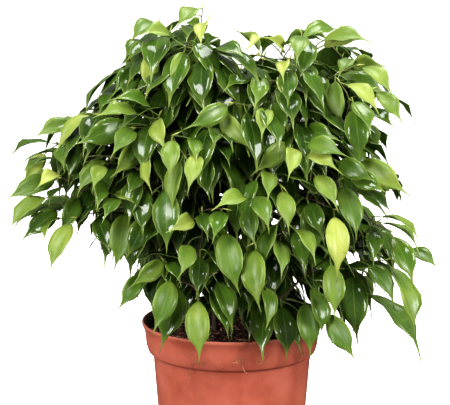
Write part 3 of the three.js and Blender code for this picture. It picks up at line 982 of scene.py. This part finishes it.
def cutHoles(piece):
    bm = bmesh.new()
    for i in range(potShape["drainHoles"]):
        angle = (i + 0.5) / potShape["drainHoles"] * fullTurn
        spot = Vector((math.cos(angle), math.sin(angle), 0)) * potShape["drainCircle"]
        bmesh.ops.create_cone(
            bm,
            cap_ends=True,
            segments=potShape["drainSides"],
            radius1=potShape["drainRadius"],
            radius2=potShape["drainRadius"],
            depth=potShape["cutterDepth"],
            matrix=Matrix.Translation(spot),
        )
    cutter = newObject("drain cutter", bm)
    cut = piece.modifiers.new("drain holes", "BOOLEAN")
    cut.operation = "DIFFERENCE"
    cut.object = cutter
    bpy.context.view_layer.objects.active = piece
    bpy.ops.object.modifier_apply(modifier=cut.name)
    bpy.data.objects.remove(cutter)


potLook = {
    "colours": [
        (0.3, (0.400, 0.082, 0.044)),
        (0.5, (0.570, 0.140, 0.082)),
        (0.7, (0.650, 0.185, 0.118)),
    ],
    # pale colour of the scuffs, and of the painted highlight along the rim
    "lip": (0.640, 0.260, 0.180),
    # the dark of the smudges, and of the painted shade inside the pot
    "smudgeAndShadeColour": (0.060, 0.026, 0.016),
    "clouds": (22, 5, 0.62),  # scale, detail and roughness
    "roughness": (0.3, 0.7, 0.46, 0.60),
    "scuffs": (420, 3),
    "scuffStretch": (1, 1, 0.08),
    "scuffBand": (0.56, 0.75, 0.0, 1.0),
    "scuffShare": 0.16,
    "scuffDuller": 0.12,
    "scuffBump": (0.12, 0.0001),
    "specks": (1500, 2),
    "speckBump": (0.16, 0.00015),
    # painted highlight: the top two millimetres of the pot are mixed towards the pale lip colour
    "rimHighlightBand": (potShape["height"] - 0.002, potShape["height"], 0.0, 0.35),
    "smudges": (55, 5, 0.7),
    "smudgingAndShade": {  # its bands by height and by smudge: outside, dark smudges that grow towards the top; inside, soil stains and painted shade, darker deeper down
        "pot": ((0.10, potShape["height"], 0.0, 0.16), (0.74, 0.95, 0.0, 0.30)),
        "pot inside": ((0.138, potShape["height"], 1.1, 0.6), (0.85, 1.2, 0.0, 0.95)),
    },
}


def potFinish(name):
    look = potLook
    material, nodes, links, shader, place = newMaterial(name)
    clouds = noiseNode(nodes, links, place, *look["clouds"])
    colour = rampNode(nodes, links, clouds, look["colours"])
    split = nodes.new("ShaderNodeSeparateXYZ")
    links.new(place, split.inputs[0])
    height = split.outputs[2]
    # fine scuffs that run up and down
    stretch = nodes.new("ShaderNodeMapping")
    stretch.inputs["Scale"].default_value = look["scuffStretch"]
    links.new(place, stretch.inputs["Vector"])
    scuffs = noiseNode(nodes, links, stretch.outputs[0], *look["scuffs"])
    scuffs = bandNode(nodes, links, scuffs, look["scuffBand"])
    pale = mathNode(nodes, links, "MULTIPLY", scuffs, look["scuffShare"])
    colour = mixNode(nodes, links, pale, colour, look["lip"])
    # a painted highlight along the rim: the top band is mixed towards the pale lip colour
    colour = mixNode(nodes, links, bandNode(nodes, links, height, look["rimHighlightBand"]), colour, look["lip"])
    # dark smudges on the outside; on the inside, soil stains and painted shade that darken it deeper down
    byHeight, bySmudge = look["smudgingAndShade"][name]
    smudges = noiseNode(nodes, links, place, *look["smudges"])
    smudgingAndShade = mathNode(nodes, links, "ADD", smudges, bandNode(nodes, links, height, byHeight))
    colour = mixNode(nodes, links, bandNode(nodes, links, smudgingAndShade, bySmudge), colour, look["smudgeAndShadeColour"])
    links.new(colour, shader.inputs["Base Color"])
    duller = mathNode(nodes, links, "MULTIPLY", scuffs, look["scuffDuller"])
    dull = mathNode(nodes, links, "ADD", bandNode(nodes, links, clouds, look["roughness"]), duller)
    links.new(dull, shader.inputs["Roughness"])
    specks = noiseNode(nodes, links, place, *look["specks"])
    normal = bumpNode(nodes, links, specks, *look["speckBump"])
    links.new(bumpNode(nodes, links, scuffs, *look["scuffBump"], normal), shader.inputs["Normal"])
    return material


# round the level rings of edges that are chosen
def roundRings(bm, offset, isChosen):
    rings = [
        edge
        for edge in bm.edges
        if abs(edge.verts[0].co.z - edge.verts[1].co.z) < potShape["levelWithin"]
        and edge.verts[0].co.xy.length > potShape["axisWithin"]
        and isChosen(edge)
    ]
    steps = potShape["roundSteps"]
    bmesh.ops.bevel(bm, geom=rings, offset=offset, segments=steps, profile=0.5, affect="EDGES", material=-1)


def makePot():
    bm = spun(potProfile(), potShape["steps"])
    softHeights = (potShape["collarFoot"][1], potShape["collarHead"][1])

    def isSoft(edge):
        return any(abs(edge.verts[0].co.z - height) < weld for height in softHeights)

    roundRings(bm, potShape["softRound"], isSoft)
    roundRings(bm, potShape["round"], lambda edge: edge.calc_face_angle(0) > potShape["sharpTurn"])
    for face in bm.faces:
        centre = face.calc_center_median()
        looksIn = face.normal.dot(Vector((centre.x, centre.y, 0))) < 0
        face.material_index = 1 if looksIn and centre.z > potShape["floor"] else 0
    finishes = [potFinish("pot"), potFinish("pot inside")]
    cutHoles(finishedPiece("pot_shell", bm, finishes, "pot"))


makePot()
print("pot made")


# Soil: a mound of crumbs with pale fibres, a few of which cling to the pot's collar

soilShape = {
    "steps": 250,
    "rings": 76,
    "gap": 0.0003,
    "rise": 0.004,
    "topWithin": 1e-5,
    "edgeWithin": 1e-4,
    "heaps": (90, 0.0016),  # how many a metre, and how high
    "grains": (420, 0.0012),
    "pits": (900, 0.0004),
    "sunk": 0.0006,
    "atOnce": 40,
    "crumbs": 1300,
    "crumbSize": (0.0005, 0.0016),
    "crumbGrowth": (1, 1, 1.5),
    "crumbWidth": (0.5, 0.9),
    "crumbHeight": (0.4, 0.8),
    "crumbAbove": 0.2,
    "crumbRough": (700, 0.3),
    "crumbReach": 0.965,
    "fibres": 150,
    "fibreSides": 3,
    "fibreSteps": 6,
    "fibreRadius": (0.00014, 0.00034),
    "fibreBend": (0.004, 0.018),
    "fibreLength": (0.006, 0.022),
    "fibreTilt": 0.5,
    "fibreAbove": 0.0004,
    "fibreReach": 0.93,
    "clinging": 14,
    "clingingAngles": (-0.8, -0.2),  # in half turns
    "clingingGap": 0.0003,
    "dropFrom": 0.02,
}
soilLooks = {
    "moist peat": {
        "grains": (330, 5, 0.7),
        "colours": [
            (0.38, (0.010, 0.004, 0.003)),
            (0.50, (0.040, 0.015, 0.009)),
            (0.62, (0.130, 0.050, 0.030)),
            (0.74, (0.360, 0.170, 0.105)),
        ],
        "roughness": 0.85,
        "bump": (0.8, 0.0012),
    },
    "peat crumb": {
        "grains": (260, 2),
        "colours": [(0.35, (0.02, 0.008, 0.005)), (0.55, (0.20, 0.075, 0.045)), (0.75, (0.62, 0.36, 0.24))],
        "roughness": 0.8,
    },
    "peat fibre": {
        "grains": (90, 2),
        "colours": [(0.35, (0.22, 0.100, 0.050)), (0.65, (0.70, 0.48, 0.29))],
        "roughness": 0.8,
    },
}


def soilMound():
    low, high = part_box("soil")
    edge, top, rise = high.x, high.z, soilShape["rise"]
    wall = potShape["wall"] + soilShape["gap"]
    profile = [
        (0, low.z),
        (potShape["base"] - wall, low.z),
        (potShape["throat"][0] - wall, potShape["throat"][1] + potShape["innerRise"]),
        (edge, potShape["collarFoot"][1] + soilShape["gap"]),
    ]
    for i in range(soilShape["rings"]):
        radius = edge * (1 - i / (soilShape["rings"] - 1))
        profile.append((radius, top - rise * (radius / edge) ** 2))
    bm = spun(profile, soilShape["steps"])
    heaps, grains, pits = soilShape["heaps"], soilShape["grains"], soilShape["pits"]
    foot, brink = top - rise - soilShape["topWithin"], edge - soilShape["edgeWithin"]
    for vertex in bm.verts:
        if vertex.co.z > foot and vertex.co.xy.length < brink:
            heap = noise.noise(vertex.co * heaps[0]) * heaps[1]
            grain = abs(noise.noise(vertex.co * grains[0])) * grains[1]
            pit = noise.noise(vertex.co * pits[0]) * pits[1]
            vertex.co.z += heap + (grain - pit) - soilShape["sunk"]
    return bm


# a random place on the mound, within a share of its radius
def onMound(ground, reach):
    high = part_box("soil")[1]
    radius = high.x * math.sqrt(random.random()) * reach
    angle = random.uniform(0, fullTurn)
    above = Vector((radius * math.cos(angle), radius * math.sin(angle), high.z + soilShape["dropFrom"]))
    return ground.ray_cast(above, -up)[0]


# a random place on the front of the pot's collar, with its z axis out from the pot
def onCollar():
    angle = random.uniform(*soilShape["clingingAngles"]) * math.pi
    (low, lowHeight), (high, highHeight) = potShape["collarFoot"], potShape["collarHead"]
    share = random.random()
    out = Vector((math.cos(angle), math.sin(angle), 0))
    place = out * (low + (high - low) * share + soilShape["clingingGap"])
    place += up * (lowHeight + (highHeight - lowHeight) * share)
    turn = Matrix((up.cross(out), up, out)).transposed().to_4x4()
    return Matrix.Translation(place) @ turn


def addCrumb(bm, ground):
    size = random.uniform(*soilShape["crumbSize"]) * random.choice(soilShape["crumbGrowth"])
    turn = Matrix.Rotation(random.uniform(0, math.pi), 4, Vector((random.random(), random.random(), 1)))
    width, height = random.uniform(*soilShape["crumbWidth"]), random.uniform(*soilShape["crumbHeight"])
    place = onMound(ground, soilShape["crumbReach"]) + up * size * soilShape["crumbAbove"]
    squashed = Matrix.Translation(place) @ turn @ Matrix.Diagonal((1, width, height, 1))
    made = bmesh.ops.create_icosphere(bm, subdivisions=1, radius=size, matrix=squashed)["verts"]
    scale, rough = soilShape["crumbRough"]
    for vertex in made:
        vertex.co += noise.noise_vector(vertex.co * scale) * size * rough


# all the vertices that edges join to the given ones
def joinedTo(vertices):
    reached = set(vertices)
    ahead = list(vertices)
    while ahead:
        for link in ahead.pop().link_edges:
            for other in link.verts:
                if other not in reached:
                    reached.add(other)
                    ahead.append(other)
    return list(reached)


# a fibre is a thin three-sided tube, spun along an arc that lies in the plane of its place
def addFibre(bm, place):
    thickness = random.uniform(*soilShape["fibreRadius"])
    sides = soilShape["fibreSides"]
    strand = bmesh.ops.create_circle(bm, segments=sides, radius=thickness, cap_ends=False)["verts"]
    bend = random.uniform(*soilShape["fibreBend"])
    for vertex in strand:
        vertex.co = Vector((bend + vertex.co.x, 0, vertex.co.y))
    edges = list({link for vertex in strand for link in vertex.link_edges})
    bmesh.ops.spin(
        bm,
        geom=strand + edges,
        cent=(0, 0, 0),
        axis=(0, 0, 1),
        angle=random.uniform(*soilShape["fibreLength"]) / bend,
        steps=soilShape["fibreSteps"],
        use_merge=False,
        use_duplicate=False,
    )
    reached = joinedTo(strand)
    for face in {face for vertex in reached for face in vertex.link_faces}:
        face.material_index = 1
    bmesh.ops.transform(bm, matrix=place @ Matrix.Translation((-bend, 0, 0)), verts=reached)


# many bits, made a few at a time, because each operator looks through the whole mesh
def addMany(whole, count, addOne):
    for made in range(0, count, soilShape["atOnce"]):
        few = bmesh.new()
        for _ in range(min(soilShape["atOnce"], count - made)):
            addOne(few)
        mesh = bpy.data.meshes.new("few bits")
        few.to_mesh(mesh)
        few.free()
        whole.from_mesh(mesh)
        bpy.data.meshes.remove(mesh)


def makeSoil():
    mound = soilMound()
    ground = BVHTree.FromBMesh(mound)
    peat, *bitFinishes = [grainFinish(name, look) for name, look in soilLooks.items()]
    finishedPiece("soil_mound", mound, [peat], "soil")

    def fibreOnMound(few):
        tilt = Matrix.Rotation(random.uniform(-soilShape["fibreTilt"], soilShape["fibreTilt"]), 4, "X")
        turn = Matrix.Rotation(random.uniform(0, fullTurn), 4, "Z")
        place = onMound(ground, soilShape["fibreReach"]) + up * soilShape["fibreAbove"]
        addFibre(few, Matrix.Translation(place) @ tilt @ turn)

    def fibreOnCollar(few):
        addFibre(few, onCollar() @ Matrix.Rotation(random.uniform(0, fullTurn), 4, "Z"))

    bits = bmesh.new()
    addMany(bits, soilShape["crumbs"], lambda few: addCrumb(few, ground))
    addMany(bits, soilShape["fibres"], fibreOnMound)
    addMany(bits, soilShape["clinging"], fibreOnCollar)
    finishedPiece("soil_crumbs", bits, bitFinishes, "soil")


makeSoil()
print("soil made")


# Floor, world, lights and camera

stageLook = {
    "contrast": "Medium High Contrast",
    "floorSize": 6,
    "floorRoughness": 0.9,
    "floorDim": (0.08, 0.08, 0.08),
    "floorPale": (0.92, 0.92, 0.92),
    "glowBand": (0.08, 0.22, 0.4, 1.0),  # less glow near the pot, where its shadow is
    "worldBand": (0, 1, 0.35, 1.0),
    "lamps": {  # place, size and power
        "key": ((-0.75, -1.1, 1.8), 0.75, 29),
        "left": ((-1.1, -1.4, 0.60), 0.50, 18),
        "right": ((1.25, -0.8, 0.90), 0.70, 25),
        "top": ((0.3, 0.5, 1.9), 0.9, 25),
    },
}


def makeCamera():
    camera = bpy.data.objects.new("camera", bpy.data.cameras.new("camera"))
    bpy.context.scene.collection.objects.link(camera)
    camera.location = eye
    camera.rotation_euler = (math.pi / 2 - viewpoint["pitch"], 0, 0)
    camera.data.lens = viewpoint["lens"]
    camera.data.sensor_width = viewpoint["sensor"]
    bpy.context.scene.camera = camera


# The floor is white to the eye, and dim to the plant, so that it doesn't light the plant from below
def makeFloor():
    look = stageLook
    bm = bmesh.new()
    bmesh.ops.create_grid(bm, x_segments=1, y_segments=1, size=look["floorSize"])
    floor = newObject("floor", bm)
    material, nodes, links, shader, place = newMaterial("floor paint")
    shader.inputs["Roughness"].default_value = look["floorRoughness"]
    shader.inputs["Specular IOR Level"].default_value = 0
    toEye = nodes.new("ShaderNodeLightPath").outputs["Is Camera Ray"]
    tone = mixNode(nodes, links, toEye, look["floorDim"], look["floorPale"])
    links.new(tone, shader.inputs["Base Color"])
    away = nodes.new("ShaderNodeVectorMath")
    away.operation = "LENGTH"
    links.new(place, away.inputs[0])
    glow = bandNode(nodes, links, away.outputs["Value"], look["glowBand"])
    shader.inputs["Emission Color"].default_value = (1, 1, 1, 1)
    links.new(mathNode(nodes, links, "MULTIPLY", glow, toEye), shader.inputs["Emission Strength"])
    floor.data.materials.append(material)


# The world too is white to the eye and dimmer to the plant
def makeWorld():
    world = bpy.data.worlds.new("studio")
    bpy.context.scene.world = world
    world.use_nodes = True
    nodes, links = world.node_tree.nodes, world.node_tree.links
    toEye = nodes.new("ShaderNodeLightPath").outputs["Is Camera Ray"]
    links.new(bandNode(nodes, links, toEye, stageLook["worldBand"]), nodes["Background"].inputs["Strength"])
    nodes["Background"].inputs["Color"].default_value = (1, 1, 1, 1)


def makeLamps():
    for name, (place, size, power) in stageLook["lamps"].items():
        light = bpy.data.lights.new(name, "AREA")
        light.size = size
        light.energy = power
        lamp = bpy.data.objects.new(name, light)
        lamp.location = place
        lamp.rotation_euler = (viewpoint["aim"] - lamp.location).to_track_quat("-Z", "Y").to_euler()
        bpy.context.scene.collection.objects.link(lamp)


bpy.context.scene.view_settings.view_transform = "Standard"
bpy.context.scene.view_settings.look = stageLook["contrast"]
makeCamera()
makeFloor()
makeWorld()
makeLamps()
print("studio made")
